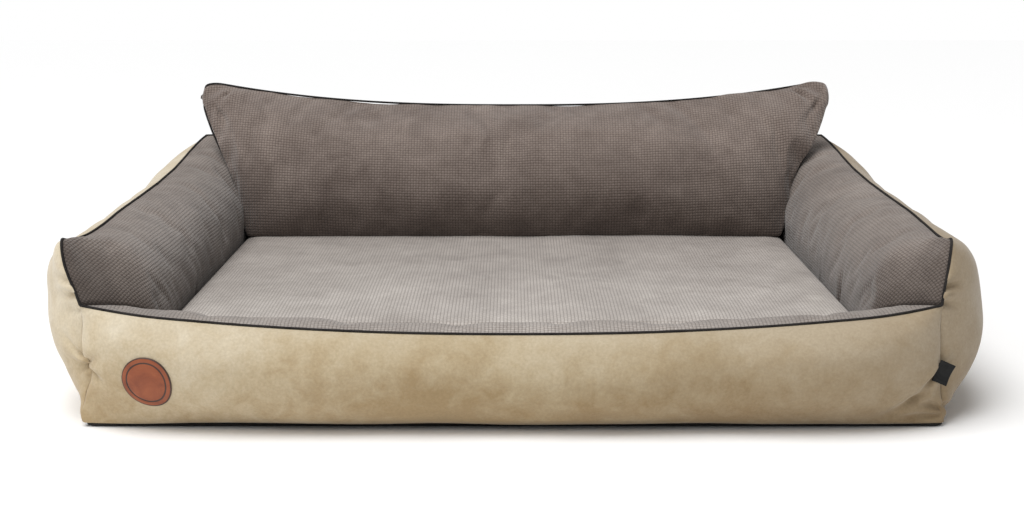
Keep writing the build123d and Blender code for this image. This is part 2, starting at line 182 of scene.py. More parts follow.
# Piping
piping_radius = 0.0017
piping_step = 0.004
piping_sides = 12
piping_rise = 0.0008
piping_rest = (0.05, 0.03, 1.0)

# Mattress
mattress_edge_radius = 0.014
mattress_waves = ((0.28, 0.0012), (0.1, 0.0005))
mattress_top_run = 0.006
mattress_settle = 0.0006
mattress_seam_run = 0.003
mattress_seam_depth = 0.0012

# Recesses for the zips
mattress_recess_depth = 0.002
mattress_recess_margin = 0.001
pillow_recess_rise = 0.003
recess_overrun = 0.01

# Swell and seam of the pillow
pillow_waves = ((0.3, 0.003), (0.11, 0.0014), (0.045, 0.0004))
pillow_calm_run = 0.03
pillow_crease_share = 0.9
pillow_crease_rows = 4
pillow_cord_rise = 0.0004

# Round leather patch: larger than its node and nearer the middle, as in the photograph
patch_scale = 1.1
patch_shift = 0.012
patch_yaw = radians(16)
patch_rise = 0.07
patch_ring_shares = (
    0, 0.25, 0.5, 0.68, 0.755, 0.77, 0.785, 0.8, 0.815, 0.9, 0.955, 0.985, 1.0, 1.0, 0.99
)
patch_levels_mm = (2.2, 2.2, 2.2, 2.2, 2.2, 1.75, 1.6, 1.75, 2.2, 2.2, 2.15, 1.9, 1.4, 0.6, 0.1)
patch_groove_shares = (0.758, 0.812)
patch_edge_share = 0.955
patch_sides = 96

# Folded cloth tag: where its line meets the front cover, and how it stands there
tag_target = (0.527, -0.42, 0.0725)
tag_stand = 0.0055
tag_shift = (0.006, 0.002, 0)

white = (1.0, 1.0, 1.0)


def mixed(start, end, share):
    return start + (end - start) * share


def unit(way):
    return way / np.linalg.norm(way)


def pairs(first, second):
    return np.stack([first, second], axis=1)


def evened(line):
    """Every inner place at the mean of itself and its neighbours."""
    even = line.copy()
    even[1:-1] = (line[:-2] + 2 * line[1:-1] + line[2:]) / 4
    return even


def bezier(poles, shares):
    """Points of many curves at once: poles are (curves, poles, 2), the result (curves, shares, 2)."""
    layer = np.repeat(poles[:, None], len(shares), axis=1)
    share = shares[None, :, None, None]
    while layer.shape[2] > 1:
        layer = mixed(layer[:, :, :-1], layer[:, :, 1:], share)
    return layer[:, :, 0]


def step_up(value, start, end):
    """0 before the start, 1 after the end, and a smooth rise between."""
    share = np.clip((value - start) / (end - start), 0, 1)
    return share * share * (3 - 2 * share)


def bell(value, middle, run):
    """1 at the middle, falling away smoothly on both sides."""
    return np.exp(-(((value - middle) / run) ** 2))


def smooth_table(places, table_places, table_values):
    """A smooth curve through a table: straight pieces, then a running mean."""
    fine = np.linspace(table_places[0], table_places[-1], 400)
    values = np.interp(fine, table_places, table_values)
    for _ in range(6):
        values = evened(values)
    return np.interp(places, fine, values)


def steps(length):
    """Places along a wall, closer together near its ends."""
    count = int(length / grid_step)
    share = np.linspace(0, 1, count + 1)
    return length * (share - grid_crowding * np.sin(2 * pi * share) / (2 * pi))


def pocket_places(places, length, start_wall, end_wall):
    """Where the section that leaves the base's edge at a place meets the pocket's edge."""
    met = places.copy()
    near, far = places < fan_run, places > length - fan_run
    met[near] = mixed(start_wall, fan_run, places[near] / fan_run)
    met[far] = length - mixed(end_wall, fan_run, (length - places[far]) / fan_run)
    return met


def wall_shape(places, length, heights, bulge, overhang, pocket, foot, reach_shares, crest=0):
    """Points of a wall's outer curve, inner curve and tail, each (places, steps, 3)."""
    reach = np.clip(np.minimum(places, length - places) / swell_run, 0, 1)
    full = np.maximum(corner_swell_share, np.sin(reach * pi / 2) ** swell_power)
    crown = heights + crown_height * mixed(crown_dip_share, 1, full) + crest
    run = foot - pocket
    width = np.linalg.norm(run, axis=1)
    along = run / width[:, None]
    rise = heights - wall_foot
    ridge_out = width + full * overhang
    flat = np.zeros_like(width)
    ridge = pairs(ridge_out, heights)
    outer = [pairs(width, flat + wall_foot)]
    for reach_share, lift_share in zip(reach_shares, outer_lift_shares):
        outer.append(pairs(width + reach_share * full * bulge, wall_foot + lift_share * rise))
    outer.append(ridge)
    inner = [
        ridge,
        pairs(crown_reach_share * ridge_out, crown),
        pairs(flat, mixed(seam_height, heights, inner_rise_share)),
        pairs(flat, flat + seam_height),
    ]
    tail = [pairs(flat, flat + seam_height), pairs(flat, flat + wall_foot)]
    parts = []
    for poles, count in zip((outer, inner, tail), wall_curve_steps):
        curve = bezier(np.stack(poles, axis=1), np.linspace(0, 1, count + 1))
        spots = pocket[:, None, :] + along[:, None, :] * curve[:, :, :1]
        parts.append(np.concatenate([spots, curve[:, :, 1:]], axis=2))
    return parts


def end_wall(pocket_y, base_y, middle_height, end_height, power):
    """The front or the rear wall, from the left corner to the right one."""
    length = 2 * base_half
    places = steps(length)
    heights = mixed(middle_height, end_height, np.abs(places / base_half - 1) ** power)
    met = pocket_places(places, length, arm_wall, arm_wall) - base_half
    pocket = pairs(met, np.full_like(met, pocket_y))
    foot = pairs(places - base_half, np.full_like(met, base_y))
    return wall_shape(places, length, heights, end_bulge, end_overhang, pocket, foot, outer_reach_shares)


def side_wall(side):
    """An arm, from its front corner to its rear one; side is 1 on the right and -1 on the left."""
    places = steps(base_depth)
    table = [corner_height, horn_height, *[share * arm_height for share in arm_ridge_shares], rear_height]
    heights = smooth_table(places, np.array(arm_rib_shares) * base_depth, table)
    heights[0], heights[-1] = corner_height, rear_height
    met = pocket_places(places, base_depth, front_wall, rear_wall) + base_low.y
    pocket = pairs(np.full_like(met, side * pocket_half), met)
    foot = pairs(np.full_like(met, side * base_half), places + base_low.y)
    crest = crest_height * bell(places, crest_place, crest_run) * step_up(places, 0, crest_start)
    own = np.array(right_reach_shares if side > 0 else left_reach_shares)[:, None]
    own_share = 1 - step_up(places, own_reach_end, common_reach_start)
    shares = mixed(np.array(outer_reach_shares)[:, None], own, own_share)
    return wall_shape(places, base_depth, heights, arm_bulge, arm_overhang, pocket, foot, shares, crest)


def eased(grid, held, rounds):
    """A grid evened out along its wall; held says how firmly each column keeps its place."""
    for _ in range(rounds):
        grid = held[None, :, None] * grid + (1 - held[None, :, None]) * evened(grid)
    return grid


def held_columns(count, ridge_at, foot_at, reach):
    """How firmly each column keeps its place: wholly at the ridge and where the outside ends."""
    column = np.arange(count)
    away = np.minimum(np.abs(column - ridge_at), np.minimum(column, np.maximum(foot_at - column, 0)))
    return 1 - step_up(away, 0, reach)


def leaned(points):
    """The front corners as they stand: the left horn leans out, the right rim corner is drawn in."""
    flat = points.reshape(-1, 3).copy()
    x, y, z = flat.T
    near = bell(y - base_low.y, lean_place, lean_run)
    left = step_up(-x, lean_start, lean_end) * step_up(z, lean_foot, horn_height)
    left *= 1 - held_swell_share * step_up(-x, base_half + held_swell_start, base_half + held_swell_end)
    right = step_up(x, lean_start, lean_end) * np.sin(np.clip(z / horn_height, 0, 1) * pi)
    x -= near * (left_lean * left + right_draw * right)
    rim = near * bell(z, corner_height, rim_draw_run) * step_up(np.abs(x), rim_draw_start, rim_draw_end)
    x += rim * np.where(x < 0, left_rim_draw, right_rim_draw)
    corner = np.exp(-(((y - base_low.y) / jog_depth) ** 2 + ((x + base_half) / jog_width) ** 2))
    x += left_jog * corner * bell(z, left_jog_height, left_jog_run)
    x -= foot_jog * corner * bell(z, foot_jog_height, foot_jog_run)
    bow = front_bow * np.clip(1 - (x / base_half) ** 2, 0, 1) ** front_bow_power
    y -= bow * step_up(-y, front_bow_start, front_bow_end) * (1 - step_up(z, 0.0, front_bow_top))
    return flat.reshape(points.shape)


def running(grid, axis):
    """Distance along the rows or the columns of a grid from its first one."""
    length = np.linalg.norm(np.diff(grid, axis=axis), axis=2)
    start = np.zeros_like(grid[:, :1, 0] if axis else grid[:1, :, 0])
    return np.concatenate([start, np.cumsum(length, axis=axis)], axis=axis)


def cloth_places(grid, axis, start=0):
    """Where each point of a panel lies on its flat cloth: along the wall, and across it from a column."""
    flat = grid.copy()
    flat[:, :, axis] = 0
    along, across = running(grid, 0), running(flat, 1)
    middle = len(grid) // 2
    return np.stack([along - along[middle:middle + 1], across - across[:, start:start + 1]], axis=2)


def grid_faces(rows, columns, flip, closed=False):
    """Four-sided faces between the rows and columns of a grid."""
    i, j = np.meshgrid(np.arange(rows - 1), np.arange(columns if closed else columns - 1), indexing="ij")
    k = (j + 1) % columns
    corners = [i * columns + j, (i + 1) * columns + j, (i + 1) * columns + k, i * columns + k]
    faces = np.stack([corner.ravel() for corner in corners], axis=1)
    return faces[:, ::-1] if flip else faces


def tube_faces(rows, sides, flip):
    """The faces of a closed tube of rings, with its two end caps last."""
    last = range(rows * sides - 1, (rows - 1) * sides - 1, -1)
    return [*grid_faces(rows, sides, flip, closed=True), range(sides), last]


def read(items, name, size, kind=float):
    """What each item of a mesh holds under a name, one row an item."""
    values = np.empty(len(items) * size, kind)
    items.foreach_get(name, values)
    return values.reshape(-1, size)


def read_points(mesh, kind="co"):
    """The places of a mesh's vertices, or their normals."""
    return read(mesh.vertices, kind, 3)


def loop_vertices(mesh):
    return read(mesh.loops, "vertex_index", 1, int)[:, 0]


def lay_places(mesh, name, places):
    """Keeps a pair of numbers for each vertex as a UV layer."""
    layer = mesh.uv_layers.new(name=name)
    layer.data.foreach_set("uv", np.asarray(places, float)[loop_vertices(mesh)].ravel())


def read_places(mesh, name):
    """The pairs that lay_places kept."""
    places = np.zeros((len(mesh.vertices), 2))
    places[loop_vertices(mesh)] = read(mesh.uv_layers[name].data, "uv", 2)
    return places


def linked(name, data):
    """A new object for some data, in the scene."""
    piece = bpy.data.objects.new(name, data)
    bpy.context.scene.collection.objects.link(piece)
    return piece


def discard(piece):
    """Removes an object and its mesh."""
    mesh = piece.data
    bpy.data.objects.remove(piece)
    bpy.data.meshes.remove(mesh)


def smooth_shaded(mesh):
    mesh.polygons.foreach_set("use_smooth", np.ones(len(mesh.polygons), bool))


def new_object(name, points, faces, uvs=None):
    """A mesh object at the origin, with smooth faces and its cloth places."""
    mesh = bpy.data.meshes.new(name)
    mesh.from_pydata([tuple(point) for point in points], [], [tuple(face) for face in faces])
    smooth_shaded(mesh)
    if uvs is not None:
        lay_places(mesh, "cloth", uvs)
    mesh.update()
    return linked(name, mesh)


def move_points(mesh, points):
    mesh.vertices.foreach_set("co", points.ravel())
    mesh.update()


def evaluated_mesh(piece):
    bpy.context.view_layer.update()
    return bpy.data.meshes.new_from_object(piece.evaluated_get(bpy.context.evaluated_depsgraph_get()))


def applied(piece):
    """The piece with its modifiers turned into mesh."""
    mesh = evaluated_mesh(piece)
    piece.modifiers.clear()
    old = piece.data
    piece.data = mesh
    bpy.data.meshes.remove(old)
    return piece


def subdivided(piece, levels):
    finer = piece.modifiers.new("finer", "SUBSURF")
    finer.levels = finer.render_levels = levels
    return applied(piece)


def inflated(points, faces, pins, cap, pressure=4, slack=0.012):
    """Points after the cloth has swelled under pressure, none further than the cap from its start."""
    start, pins = points.reshape(-1, 3), pins.ravel()
    piece = new_object("swelling", start, faces)
    group = piece.vertex_groups.new(name="pins")
    for weight in np.unique(pins[pins > 0]):
        group.add([int(v) for v in np.nonzero(pins == weight)[0]], float(weight), "REPLACE")
    cloth = piece.modifiers.new("cloth", "CLOTH")
    cloth.point_cache.frame_end = swell_frames
    for name, value in cloth_settings.items():
        setattr(cloth.settings, name, value)
    cloth.settings.uniform_pressure_force = pressure
    cloth.settings.shrink_min = -slack
    cloth.settings.effector_weights.gravity = 0
    for number in range(1, swell_frames + 1):
        bpy.context.scene.frame_set(number)
    mesh = evaluated_mesh(piece)
    moved = read_points(mesh) - start
    bpy.context.scene.frame_set(1)
    bpy.data.meshes.remove(mesh)
    discard(piece)
    length = np.linalg.norm(moved, axis=1, keepdims=True)
    return (start + moved * np.minimum(1, cap / np.maximum(length, cap / 100))).reshape(points.shape)


def crease_depth(uv, ends, creases):
    """How deep each cloth place lies in a list of creases.

    A crease is (end, u, v, angle, length, width, depth). u runs from the panel's first end where end is -1,
    back from its last end where it is 1, and is the place's own where it is 0.
    """
    total = np.zeros(len(uv))
    for end, u, v, angle, length, width, depth in creases:
        way = np.array([np.cos(radians(angle)), np.sin(radians(angle))])
        own = (ends[:, 0], uv[:, 0], ends[:, 1])[end + 1]
        away = pairs(own, uv[:, 1]) - (u, v)
        along = away @ way
        across = away @ np.array([-way[1], way[0]])
        share = along / length
        inside = (share > -crease_lead_share) & (share < 1)
        rest = np.clip(1 - share, 0, None) ** crease_fade_power
        fade = np.where(share < 0, 1 + share / crease_lead_share, rest)
        broad = width * (crease_start_share + np.clip(share, 0, 1))
        shoulder = shoulder_share * bell(across / broad, 0, shoulder_width)
        profile = bell(across, 0, broad) - shoulder
        total += np.where(inside, depth * np.clip(fade, 0, 1) * profile, 0)
    return total


def waves(points, swells, seed):
    """Gentle swells, each (size, depth), from sums of slanted sine waves, the same on every run."""
    draw = np.random.default_rng(seed)
    total = np.zeros(len(points))
    for size, depth in swells:
        for _ in range(waves_per_size):
            way = unit(draw.normal(size=3))
            phase = draw.uniform(0, 2 * pi)
            total += depth / wave_spread * np.sin(points @ way * (2 * pi / size) + phase)
    return total


def panel(name, grid, uv, flip, creases, swells, seed, levels):
    """A cloth panel as a thin closed shell: subdivided, creased, and thickened inwards."""
    rows, columns = grid.shape[:2]
    piece = new_object(name, grid.reshape(-1, 3), grid_faces(rows, columns, flip), uv.reshape(-1, 2))
    run = running(grid, 0)
    lay_places(piece.data, "ends", np.stack([run, run[-1] - run], axis=2).reshape(-1, 2))
    mesh = subdivided(piece, levels).data
    flat, ends = read_places(mesh, "cloth"), read_places(mesh, "ends")
    mesh.uv_layers.remove(mesh.uv_layers["ends"])
    points = read_points(mesh)
    edge = border_fade(mesh, fade_rings * 2**levels)
    move = waves(points, swells, seed) * edge
    move -= crease_depth(flat, ends, creases) * np.clip(edge * crease_onset, 0, 1)
    move_points(mesh, points + read_points(mesh, "normal") * move[:, None])
    shell = piece.modifiers.new("shell", "SOLIDIFY")
    shell.thickness = cloth_thickness
    shell.offset = -1
    return applied(piece)


def border_fade(mesh, rings):
    """0 on a mesh's open border, rising to 1 some rings further in."""
    edges = read(mesh.edges, "vertices", 2, int)
    loops = read(mesh.loops, "edge_index", 1, int)[:, 0]
    single = np.bincount(loops, minlength=len(edges)) == 1
    ring = np.full(len(mesh.vertices), rings, float)
    ring[edges[single].ravel()] = 0
    for _ in range(rings):
        np.minimum.at(ring, edges[:, 0], ring[edges[:, 1]] + 1)
        np.minimum.at(ring, edges[:, 1], ring[edges[:, 0]] + 1)
    return step_up(ring, 0, rings)


def resampled(path, step):
    """The same path with points an even step apart."""
    path = np.asarray(path, float)
    run = np.concatenate([[0], np.cumsum(np.linalg.norm(np.diff(path, axis=0), axis=1))])
    even = np.linspace(0, run[-1], int(run[-1] / step) + 1)
    return np.stack([np.interp(even, run, path[:, k]) for k in range(3)], axis=1)


def piping(name, path):
    """A cloth-covered cord along a path, closed at both ends."""
    path = resampled(path, piping_step)
    for _ in range(2):
        path = evened(path)
    way = np.gradient(path, axis=0)
    way /= np.linalg.norm(way, axis=1, keepdims=True)
    side = np.cross(way, piping_rest)
    side /= np.linalg.norm(side, axis=1, keepdims=True)
    up = np.cross(side, way)
    turn = np.linspace(0, 2 * pi, piping_sides, endpoint=False)
    ring = side[:, None] * np.cos(turn)[None, :, None] + up[:, None] * np.sin(turn)[None, :, None]
    points = (path[:, None] + piping_radius * ring).reshape(-1, 3)
    run = np.arange(len(path)) * piping_step
    uv = np.stack(np.broadcast_arrays(run[:, None], turn[None] * piping_radius), axis=2).reshape(-1, 2)
    return new_object(name, points, tube_faces(len(path), piping_sides, True), uv)


def placed(piece, body, slot, material, *nodes, fill=None):
    """Says where a piece belongs: its body, its material and the nodes that it stands for."""
    piece.data.materials.clear()
    piece.data.materials.append(material)
    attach(piece, body)
    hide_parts(*nodes)


# Materials
class Nodes:
    """A short way to write a material's node tree."""

    def __init__(self, name):
        self.material = bpy.data.materials.new(name)
        self.material.use_nodes = True
        self.tree = self.material.node_tree
        self.shader = self.tree.nodes["Principled BSDF"]
        self.where = self.add("ShaderNodeTexCoord").outputs["Object"]

    def add(self, kind, inputs=(), **settings):
        node = self.tree.nodes.new(kind)
        for name, value in settings.items():
            setattr(node, name, value)
        for name, value in dict(inputs).items():
            self.put(value, node.inputs[name])
        return node

    def put(self, value, socket):
        if isinstance(value, bpy.types.NodeSocket):
            self.tree.links.new(value, socket)
        else:
            socket.default_value = value

    def math(self, operation, first, second=0.0, third=0.0):
        node = self.add("ShaderNodeMath", operation=operation)
        for value, socket in zip((first, second, third), node.inputs):
            self.put(value, socket)
        return node.outputs[0]

    def noise(self, *settings):
        """Noise of a scale, detail and roughness, and perhaps a distortion."""
        inputs = dict(zip(("Scale", "Detail", "Roughness", "Distortion"), settings))
        return self.add("ShaderNodeTexNoise", {"Vector": self.where, **inputs}).outputs["Fac"]

    def ramp(self, factor, *stops):
        node = self.add("ShaderNodeValToRGB", {"Fac": factor})
        elements = node.color_ramp.elements
        while len(elements) < len(stops):
            elements.new(0.5)
        for element, (place, colour) in zip(elements, stops):
            element.position = place
            element.color = (*colour, 1)
        return node.outputs["Color"]

    def toned(self, colour, factor, *stops):
        """The colour times a ramp over the factor."""
        node = self.add("ShaderNodeMix", data_type="RGBA", blend_type="MULTIPLY")
        for value, number in ((1.0, 0), (colour, 6), (self.ramp(factor, *stops), 7)):
            self.put(value, node.inputs[number])
        return node.outputs[2]

    def bump(self, height, distance, strength=1.0, under=None):
        inputs = {"Height": height, "Distance": distance, "Strength": strength}
        if under is not None:
            inputs["Normal"] = under
        return self.add("ShaderNodeBump", inputs).outputs["Normal"]

    def axes(self, vector):
        return self.add("ShaderNodeSeparateXYZ", {"Vector": vector}).outputs

    def finish(self, colour, normal, constants):
        """Links colour and normal, and sets what is the same all over on the shader's own sockets."""
        self.put(colour, self.shader.inputs["Base Color"])
        self.put(normal, self.shader.inputs["Normal"])
        for name, value in constants.items():
            self.shader.inputs[name].default_value = value
        return self.material


def suede(light, middle, dark):
    """Napped suede cloth: cloudy patches, a short nap with sheen, a fine grain, and painted shade that is
    darker low down and towards the right.
    """
    nodes = Nodes("suede")
    cloud = nodes.noise(3.2, 3.0, 0.5, 0.2)
    patch = nodes.noise(30.0, 6.0, 0.68, 0.3)
    fine = nodes.noise(300.0, 3.0, 0.6)
    axes = nodes.axes(nodes.where)
    # Painted shade: the nap value rises with height, so the suede is painted darker low down and lighter
    # higher up.
    height = nodes.math("MULTIPLY", axes["Z"], 1.3)
    nap = nodes.math("ADD", nodes.math("MULTIPLY", cloud, 0.55), nodes.math("MULTIPLY", patch, 0.33))
    nap = nodes.math("ADD", nap, nodes.math("MINIMUM", height, 0.17))
    colour = nodes.ramp(nap, (0.42, dark), (0.54, middle), (0.68, light))
    colour = nodes.toned(colour, fine, (0.3, (0.86, 0.85, 0.83)), (0.7, white))
    # Painted shade: the suede is painted darker towards the right.
    across = nodes.math("MULTIPLY_ADD", axes["X"], 0.5 / base_half, 0.5)
    painted_side_shade = ((0.0, white), (0.5, (0.78, 0.745, 0.68)), (1.0, (0.54, 0.49, 0.44)))
    colour = nodes.toned(colour, across, *painted_side_shade)
    grain = nodes.noise(520.0, 4.0, 0.6)
    wrinkles = nodes.noise(70.0, 4.0, 0.6, 1.2)
    normal = nodes.bump(grain, 0.0003, 0.5, nodes.bump(wrinkles, 0.0012, 0.35))
    constants = {"Roughness": 0.82, "Specular IOR Level": 0.25, "Sheen Weight": 0.25, "Sheen Roughness": 0.45}
    return nodes.finish(colour, normal, constants)


def weave(name, light, dark, painted_shade_bands):
    """Coarse chenille basket weave on the cloth's own places, with nap patches, painted shade in the gaps
    between the yarns, and yarns of one direction painted lighter than the other.

    Each painted shade band is (axis, start, end, share): painted shade takes the cloth's tone from that share
    at start to its own at end.
    """
    nodes = Nodes(name)
    places = nodes.axes(nodes.add("ShaderNodeUVMap", uv_map="cloth").outputs["UV"])
    wobble = nodes.noise(90.0, 2.0, 0.5)
    shift = nodes.math("MULTIPLY", nodes.math("SUBTRACT", wobble, 0.5), 0.9)
    turns = [nodes.math("MULTIPLY_ADD", places[axis], pi / weave_pitch, shift) for axis in "XY"]
    over = nodes.math("MULTIPLY", *[nodes.math("SINE", turn) for turn in turns])
    height = nodes.math("POWER", nodes.math("ABSOLUTE", over), 0.6)
    cloud = nodes.noise(9.0, 4.0, 0.6, 0.5)
    patch = nodes.noise(34.0, 4.0, 0.65, 0.6)
    fibre = nodes.noise(900.0, 3.0, 0.6)
    nap = nodes.math("ADD", nodes.math("MULTIPLY", cloud, 0.6), nodes.math("MULTIPLY", patch, 0.4))
    colour = nodes.ramp(nap, (0.36, dark), (0.64, light))
    # Painted shade: the gaps between the yarns are painted darker than the yarn tops.
    colour = nodes.toned(colour, height, (0.0, (0.36, 0.33, 0.31)), (0.55, white))
    # Painted light: yarns of one direction are painted a little lighter than those of the other.
    side = nodes.math("MULTIPLY_ADD", over, 0.5, 0.5)
    colour = nodes.toned(colour, side, (0.3, (0.92, 0.91, 0.9)), (0.7, white))
    colour = nodes.toned(colour, fibre, (0.3, (0.82, 0.81, 0.8)), (0.7, white))
    spot = nodes.axes(nodes.where)
    # Painted shade bands: the tone is darkened towards the start of each band.
    for axis, start, end, share in painted_shade_bands:
        level = nodes.math("DIVIDE", nodes.math("SUBTRACT", spot[axis], start), end - start)
        low = tuple(share * c for c in (1.0, 0.96, 0.94))
        colour = nodes.toned(colour, level, (0.0, low), (1.0, white))
    normal = nodes.bump(fibre, 0.0004, 0.5, nodes.bump(height, weave_depth))
    constants = {"Roughness": 0.9, "Specular IOR Level": 0.2, "Sheen Weight": 0.35, "Sheen Roughness": 0.5}
    return nodes.finish(colour, normal, constants)


def dark_cloth(name, colour, thread=0.0011):
    """Tightly woven dark cloth, with worn patches and painted shade between the threads."""
    nodes = Nodes(name)
    axes = nodes.axes(nodes.where)
    ways = [nodes.math("SINE", nodes.math("MULTIPLY", axes[a], pi / thread)) for a in "XYZ"]
    total = nodes.math("ADD", nodes.math("ADD", ways[0], ways[1]), ways[2])
    height = nodes.math("MULTIPLY_ADD", total, 0.16, 0.5)
    wear = nodes.noise(30.0, 4.0, 0.6)
    lighter = tuple(min(1, c * 2.0 + 0.01) for c in colour)
    base = nodes.ramp(wear, (0.35, colour), (0.75, lighter))
    # Painted shade: the gaps between the threads are painted darker.
    base = nodes.toned(base, height, (0.1, (0.5, 0.5, 0.5)), (0.6, white))
    return nodes.finish(base, nodes.bump(height, 0.0003), {"Roughness": 0.78, "Specular IOR Level": 0.3})


def leather(name, colour, dark):
    """Smooth full-grain leather with fine pores and slow changes of tone."""
    nodes = Nodes(name)
    tone = nodes.noise(40.0, 4.0, 0.6, 0.5)
    cells = nodes.add("ShaderNodeTexVoronoi", {"Vector": nodes.where, "Scale": 1300.0}).outputs["Distance"]
    base = nodes.ramp(tone, (0.3, dark), (0.65, colour))
    base = nodes.toned(base, cells, (0.0, (0.75, 0.72, 0.7)), (0.35, white))
    return nodes.finish(base, nodes.bump(cells, 0.0002, 0.5), {"Roughness": 0.5})


def black_metal():
    """Black lacquer on cast zinc, worn a little."""
    nodes = Nodes("zip_metal")
    wear = nodes.noise(700.0, 4.0, 0.7)
    gloss = nodes.ramp(wear, (0.3, (0.3, 0.3, 0.3)), (0.7, (0.45, 0.45, 0.45)))
    nodes.put(gloss, nodes.shader.inputs["Roughness"])
    base = nodes.ramp(wear, (0.5, (0.012, 0.012, 0.013)), (0.8, (0.05, 0.05, 0.052)))
    return nodes.finish(base, nodes.bump(wear, 0.00005, 0.5), {"Metallic": 0.6})


suede_cloth = suede((0.72, 0.64, 0.5), (0.6, 0.5, 0.345), (0.46, 0.345, 0.2))
# One woven cloth in four copies with painted light: the seat is painted lightest, then the rim, the walls and
# the pillow darker. The seat's painted shade darkens it towards the back.
seat_weave_painted_light = weave("seat_weave_painted_light", (0.69, 0.64, 0.595), (0.48, 0.435, 0.4), [("Y", 0.24, -0.3, 0.68)])
# Painted shade on the rim: darker where it rises to the front corners.
rim_painted_shade = [("Z", corner_height, front_height, 0.6)]
rim_weave_painted_light = weave("rim_weave_painted_light", (0.56, 0.51, 0.47), (0.37, 0.325, 0.295), rim_painted_shade)
# Painted shade on the walls: darker towards the front and low down near the seat.
wall_painted_shade = [("Y", -0.44, -0.33, 0.44), ("Z", seat_height, seat_height + 0.11, 0.54)]
wall_weave_painted_light = weave("wall_weave_painted_light", (0.365, 0.31, 0.275), (0.215, 0.175, 0.152), wall_painted_shade)
# Painted shade on the pillow: darker low down near the seat.
pillow_painted_shade = [("Z", seat_height, seat_height + 0.16, 0.46)]
pillow_weave_painted_light = weave("pillow_weave_painted_light", (0.33, 0.268, 0.235), (0.2, 0.155, 0.133), pillow_painted_shade)
lining_cloth = dark_cloth("lining", (0.035, 0.032, 0.03))
canvas = dark_cloth("canvas", (0.012, 0.011, 0.01))
piping_cloth = dark_cloth("piping", (0.01, 0.008, 0.007), 0.0009)
patch_leather = leather("patch_leather", (0.33, 0.084, 0.025), (0.21, 0.045, 0.013))
edge_leather = leather("edge_leather", (0.08, 0.035, 0.022), (0.035, 0.016, 0.012))
tag_cloth = dark_cloth("tag", (0.008, 0.008, 0.008), 0.0006)
zip_cloth = dark_cloth("zip_tape", (0.014, 0.013, 0.012), 0.0007)
zip_nylon = dark_cloth("zip_coil", (0.012, 0.012, 0.012), 0.0016)
zip_metal = black_metal()


# Walls of the tub
def hem_stand(edge, seed):
    """How far a wall's lower hem stands off the floor along its edge, fading towards both corners."""
    run = running(edge[:, None], 0)[:, 0]
    back = running(edge[::-1, None], 0)[::-1, 0]
    fade = step_up(run, hem_start, hem_end) * step_up(back, hem_start, hem_end)
    return hem_lift * (1 + hem_wave_share * waves(edge, hem_waves, seed)) * fade


def wall(side, shape, axis, flip, creases, folds, seed, cap):
    """One wall: swelled as a closed cushion, then split into its outer and inner cover."""
    outer, inner, tail = shape
    ridge_at = outer.shape[1] - 1
    seam_at = ridge_at + inner.shape[1] - 1
    loop = np.concatenate([outer, inner[:, 1:], tail[:, 1:]], axis=1)
    loop = leaned(eased(loop, held_columns(loop.shape[1], ridge_at, seam_at, reach=7), rounds=60))
    level = np.clip(loop[[0, -1], :ridge_at + 1, 2] / corner_height, 0, 1)
    loop[[0, -1], :ridge_at + 1, :2] *= 1 - seam_sink / base_half * np.sin(level * pi)[:, :, None]
    hem = hem_stand(loop[:, 0], seed + 90)[:, None] * np.array(hem_column_shares)
    loop[:, :len(hem_column_shares), 2] += hem.clip(0)
    share = np.linspace(0, 1, under_columns)[1:-1]
    under = loop[:, -1:] + (loop[:, :1] - loop[:, -1:]) * share[None, :, None]
    closed = np.concatenate([loop, under], axis=1)
    rows, columns = closed.shape[:2]
    pins = np.zeros((rows, columns))
    pins[[0, -1]] = 1
    pins[:, [0, ridge_at]] = 1
    pins[:, seam_at:] = 1
    pins[:, 1] = pins[:, seam_at - 1] = seam_pin_share
    faces = grid_faces(rows, columns, flip, closed=True)
    moved = inflated(closed, faces, pins, cap) - closed
    moved[:, :ridge_at + 1] = eased(moved[:, :ridge_at + 1], np.zeros(ridge_at + 1), rounds=40)
    points = closed + moved
    outer_uv = cloth_places(closed[:, :ridge_at + 1], axis)
    inner_uv = cloth_places(closed[:, ridge_at:loop.shape[1]], axis, seam_at - ridge_at)
    outer_grid, inner_grid = points[:, :ridge_at + 1], points[:, ridge_at:loop.shape[1]]
    cover = panel(side + "_outer_cover", outer_grid, outer_uv, flip, creases, outer_waves, seed, levels=2)
    lining = panel(
        side + "_inner_cover", inner_grid, inner_uv, flip, folds, inner_waves, seed + 50, levels=1
    )
    placed(cover, "tub", "suede_cover", suede_cloth, side + "_outer_panel", side + "_fill", fill=0.8)
    weave_of_wall = rim_weave_painted_light if side == "front" else wall_weave_painted_light
    placed(lining, "tub", "woven_cover", weave_of_wall, side + "_inner_panel", fill=0.8)
    cord = piping(side + "_piping", loop[:, ridge_at] + (0, 0, piping_rise))
    placed(cord, "tub", "piping", piping_cloth, side + "_rim_piping")
    return cover


